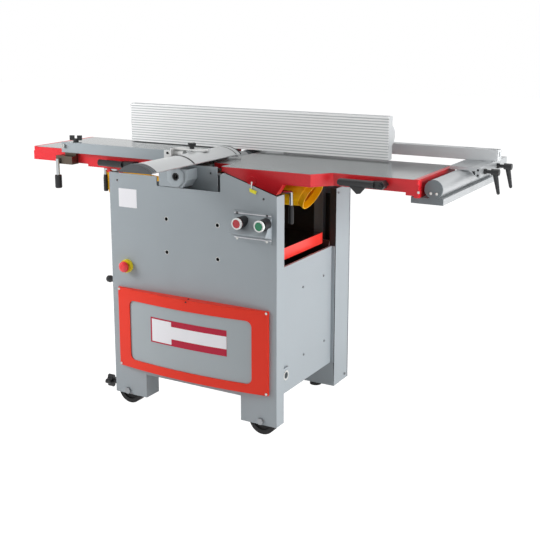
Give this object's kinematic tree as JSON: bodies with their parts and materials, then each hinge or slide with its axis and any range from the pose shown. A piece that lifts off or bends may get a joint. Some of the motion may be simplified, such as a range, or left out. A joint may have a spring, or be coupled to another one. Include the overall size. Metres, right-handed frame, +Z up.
{
  "type": "combination planer thicknesser",
  "caption": "Floor-standing planer thicknesser: sheet-steel cabinet, hinged planing tables over a spiral cutterblock, rising bed, ribbed fence and bridge guard.",
  "frame": {"origin": "centre of the footprint of the whole machine, on the floor", "axes": "+X along the tables towards the infeed end and the fence rail, +Y from the operator towards the fence, +Z up"},
  "size_m": [1.727, 0.92, 1.0355],
  "materials": {
    "sheet_paint": "grey powder coat, fine texture",
    "cast_grey": "grey primed casting",
    "table_casting": "red enamel casting with a ground top",
    "saddle_black": "black enamel casting",
    "machined_steel": "machined",
    "carbide": "ground carbide",
    "motor_paint": "dark grey enamel",
    "aluminium": "natural anodised extrusion",
    "black_plastic": "moulded, satin",
    "grey_plastic": "moulded, matt",
    "red_cover": "orange-red powder coat",
    "hood_yellow": "yellow enamel",
    "rubber": "moulded",
    "green_button": "gloss",
    "red_button": "gloss",
    "yellow_plastic": "moulded"
  },
  "bodies": {
    "cabinet": {"front_panel": "sheet_paint", "rear_panel": "sheet_paint", "side_panels": "sheet_paint", "base_tray": "sheet_paint", "machine_cheeks": "cast_grey", "cutter_bearings": "cast_grey", "notch_plate": "sheet_paint", "chuck_housing": "sheet_paint", "drive_motor": "motor_paint", "drive_belt": "rubber", "lift_gearbox": "cast_grey", "hinge_rail": "sheet_paint", "hinge_pins": "machined_steel", "control_box": "sheet_paint", "estop_base": "yellow_plastic", "front_cover": "red_cover", "cover_window": "grey_plastic", "dust_hood": "hood_yellow", "wheel_axles": "machined_steel", "rear_feet": "rubber"},
    "cutter": {"cutterblock": "machined_steel", "cutter_inserts": "carbide", "cutter_pulley": "machined_steel"},
    "motor_rotor": {"motor_pulley": "machined_steel"},
    "feed_roller": {"infeed_roller": "machined_steel"},
    "delivery_roller": {"outfeed_roller": "machined_steel"},
    "bed": {"thicknesser_bed": "table_casting", "lift_ram": "machined_steel"},
    "screw": {"lift_screw": "machined_steel"},
    "height_wheel": {"handwheel": "black_plastic"},
    "wheel_knob": {"handwheel_knob": "black_plastic"},
    "saddle": {"infeed_saddle": "saddle_black"},
    "infeed": {"infeed_table": "table_casting", "fence_rail": "aluminium", "rail_end_cap": "grey_plastic"},
    "depth_handle": {"depth_lever": "black_plastic"},
    "right_lock": {"right_lock_lever": "machined_steel"},
    "outfeed": {"outfeed_table": "table_casting", "guard_pivot": "machined_steel"},
    "lift_handle": {"outfeed_lever": "black_plastic"},
    "left_lock": {"left_lock_lever": "machined_steel"},
    "arm_lock": {"arm_clamp_lever": "machined_steel"},
    "carriage": {"fence_carriage": "aluminium", "fence_arm": "aluminium", "fence_bracket": "machined_steel"},
    "fence_body": {"fence": "aluminium"},
    "front_clamp": {"front_clamp_lever": "black_plastic"},
    "rear_clamp": {"rear_clamp_lever": "black_plastic"},
    "guard_support": {"guard_arm": "sheet_paint", "guard_holder": "aluminium"},
    "wing_knob": {"arm_wing_knob": "black_plastic"},
    "slide_knob": {"guard_knob": "black_plastic"},
    "bridge": {"bridge_guard": "aluminium", "guard_caps": "black_plastic"},
    "start": {"start_button": "green_button"},
    "stop": {"stop_button": "red_button"},
    "estop": {"estop_button": "red_button"},
    "wheel_l": {"left_wheel": "rubber"},
    "wheel_r": {"right_wheel": "rubber"},
    "clutch": {"clutch_knob": "black_plastic"}
  },
  "joints": [
    {"name": "cutter_spin", "type": "hinge", "parent": "cabinet", "child": "cutter", "pos_m": [-0.09875, 0.032, 0.847], "axis": [0, 1, 0], "continuous": true},
    {"name": "motor_spin", "type": "hinge", "parent": "cabinet", "child": "motor_rotor", "pos_m": [0.06925, 0.272, 0.221], "axis": [0, 1, 0], "continuous": true},
    {"name": "feed_spin", "type": "hinge", "parent": "cabinet", "child": "feed_roller", "pos_m": [-0.02675, 0.032, 0.826], "axis": [0, 1, 0], "continuous": true},
    {"name": "delivery_spin", "type": "hinge", "parent": "cabinet", "child": "delivery_roller", "pos_m": [-0.17075, 0.032, 0.826], "axis": [0, 1, 0], "continuous": true},
    {"name": "handwheel_turn", "type": "hinge", "parent": "cabinet", "child": "height_wheel", "pos_m": [-0.39575, -0.118, 0.472], "axis": [1, 0, 0], "range_deg": [-2710, 9910]},
    {"name": "bed_lift", "type": "slide", "parent": "cabinet", "child": "bed", "axis": [0, 0, 1], "range_m": [-0.03, 0.11]},
    {"name": "screw_turn", "type": "hinge", "parent": "cabinet", "child": "screw", "pos_m": [-0.09875, 0.032, 0.3], "axis": [0, 0, 1], "range_deg": [-2710, 9910]},
    {"name": "knob_spin", "type": "hinge", "parent": "height_wheel", "child": "wheel_knob", "pos_m": [-0.42175, -0.19881, 0.44259], "axis": [1, 0, 0], "continuous": true},
    {"name": "infeed_flip", "type": "hinge", "parent": "cabinet", "child": "saddle", "pos_m": [0.15625, 0.277, 0.838], "axis": [-1, 0, 0], "range_deg": [0, 90]},
    {"name": "outfeed_flip", "type": "hinge", "parent": "cabinet", "child": "outfeed", "pos_m": [-0.29875, 0.277, 0.838], "axis": [-1, 0, 0], "range_deg": [0, 90]},
    {"name": "depth_slide", "type": "slide", "parent": "saddle", "child": "infeed", "axis": [-0.9563, 0, 0.2924], "range_m": [0, 0.01368]},
    {"name": "depth_turn", "type": "hinge", "parent": "infeed", "child": "depth_handle", "pos_m": [0.58725, -0.123, 0.858], "axis": [0, -1, 0], "range_deg": [-0.5, 18.5]},
    {"name": "right_lock_turn", "type": "hinge", "parent": "saddle", "child": "right_lock", "pos_m": [0.24125, -0.119, 0.80732], "axis": [-1, 0, 0], "range_deg": [0, 50]},
    {"name": "left_lock_turn", "type": "hinge", "parent": "outfeed", "child": "left_lock", "pos_m": [-0.49775, -0.071, 0.819], "axis": [-1, 0, 0], "range_deg": [0, 50]},
    {"name": "lift_handle_turn", "type": "hinge", "parent": "outfeed", "child": "lift_handle", "pos_m": [-0.37075, -0.118, 0.848], "axis": [0, -1, 0], "range_deg": [0, 25]},
    {"name": "arm_lock_turn", "type": "hinge", "parent": "outfeed", "child": "arm_lock", "pos_m": [-0.70675, -0.118, 0.846], "axis": [0, 1, 0], "range_deg": [-40, 40]},
    {"name": "fence_slide", "type": "slide", "parent": "infeed", "child": "carriage", "axis": [0, 1, 0], "range_m": [-0.125, 0]},
    {"name": "fence_tilt", "type": "hinge", "parent": "carriage", "child": "fence_body", "pos_m": [-0.02375, 0.249, 0.8965], "axis": [-1, 0, 0], "range_deg": [0, 45]},
    {"name": "front_clamp_turn", "type": "hinge", "parent": "carriage", "child": "front_clamp", "pos_m": [0.80775, 0.206, 0.8744], "axis": [1, 0, 0], "range_deg": [-45, 45]},
    {"name": "rear_clamp_turn", "type": "hinge", "parent": "carriage", "child": "rear_clamp", "pos_m": [0.80775, 0.348, 0.8744], "axis": [1, 0, 0], "range_deg": [-45, 45]},
    {"name": "guard_raise", "type": "hinge", "parent": "outfeed", "child": "guard_support", "pos_m": [-0.69075, -0.111, 0.898], "axis": [0, -1, 0], "range_deg": [0, 8]},
    {"name": "wing_turn", "type": "hinge", "parent": "guard_support", "child": "wing_knob", "pos_m": [-0.64675, -0.1, 0.912], "axis": [0, 0, 1], "continuous": true},
    {"name": "slide_knob_turn", "type": "hinge", "parent": "guard_support", "child": "slide_knob", "pos_m": [-0.13875, -0.085, 0.92], "axis": [0, 0, 1], "continuous": true},
    {"name": "guard_slide", "type": "slide", "parent": "guard_support", "child": "bridge", "axis": [0, 1, 0], "range_m": [-0.12, 0]},
    {"name": "start_press", "type": "slide", "parent": "cabinet", "child": "start", "axis": [0, 1, 0], "range_m": [0, 0.004], "stiffness_N_per_m": 500},
    {"name": "stop_press", "type": "slide", "parent": "cabinet", "child": "stop", "axis": [0, 1, 0], "range_m": [0, 0.004], "stiffness_N_per_m": 500},
    {"name": "estop_press", "type": "slide", "parent": "cabinet", "child": "estop", "axis": [0, 1, 0], "range_m": [0, 0.004], "stiffness_N_per_m": 500},
    {"name": "left_wheel_spin", "type": "hinge", "parent": "cabinet", "child": "wheel_l", "pos_m": [-0.32675, -0.212, 0.05], "axis": [0, 1, 0], "continuous": true},
    {"name": "right_wheel_spin", "type": "hinge", "parent": "cabinet", "child": "wheel_r", "pos_m": [0.22425, -0.212, 0.05], "axis": [0, 1, 0], "continuous": true},
    {"name": "clutch_turn", "type": "hinge", "parent": "cabinet", "child": "clutch", "pos_m": [-0.38175, -0.21, 0.06], "axis": [1, 0, 0], "range_deg": [0, 90]}
  ],
  "couplings": [
    {"joint": "motor_spin", "follows": "cutter_spin", "ratio": 0.76087},
    {"joint": "delivery_spin", "follows": "feed_spin", "ratio": 1},
    {"joint": "handwheel_turn", "follows": "bed_lift", "rad_per_m": 1570.8},
    {"joint": "screw_turn", "follows": "bed_lift", "rad_per_m": 1570.8},
    {"joint": "outfeed_flip", "follows": "infeed_flip", "ratio": 1},
    {"joint": "depth_turn", "follows": "depth_slide", "rad_per_m": 22.965}
  ]
}
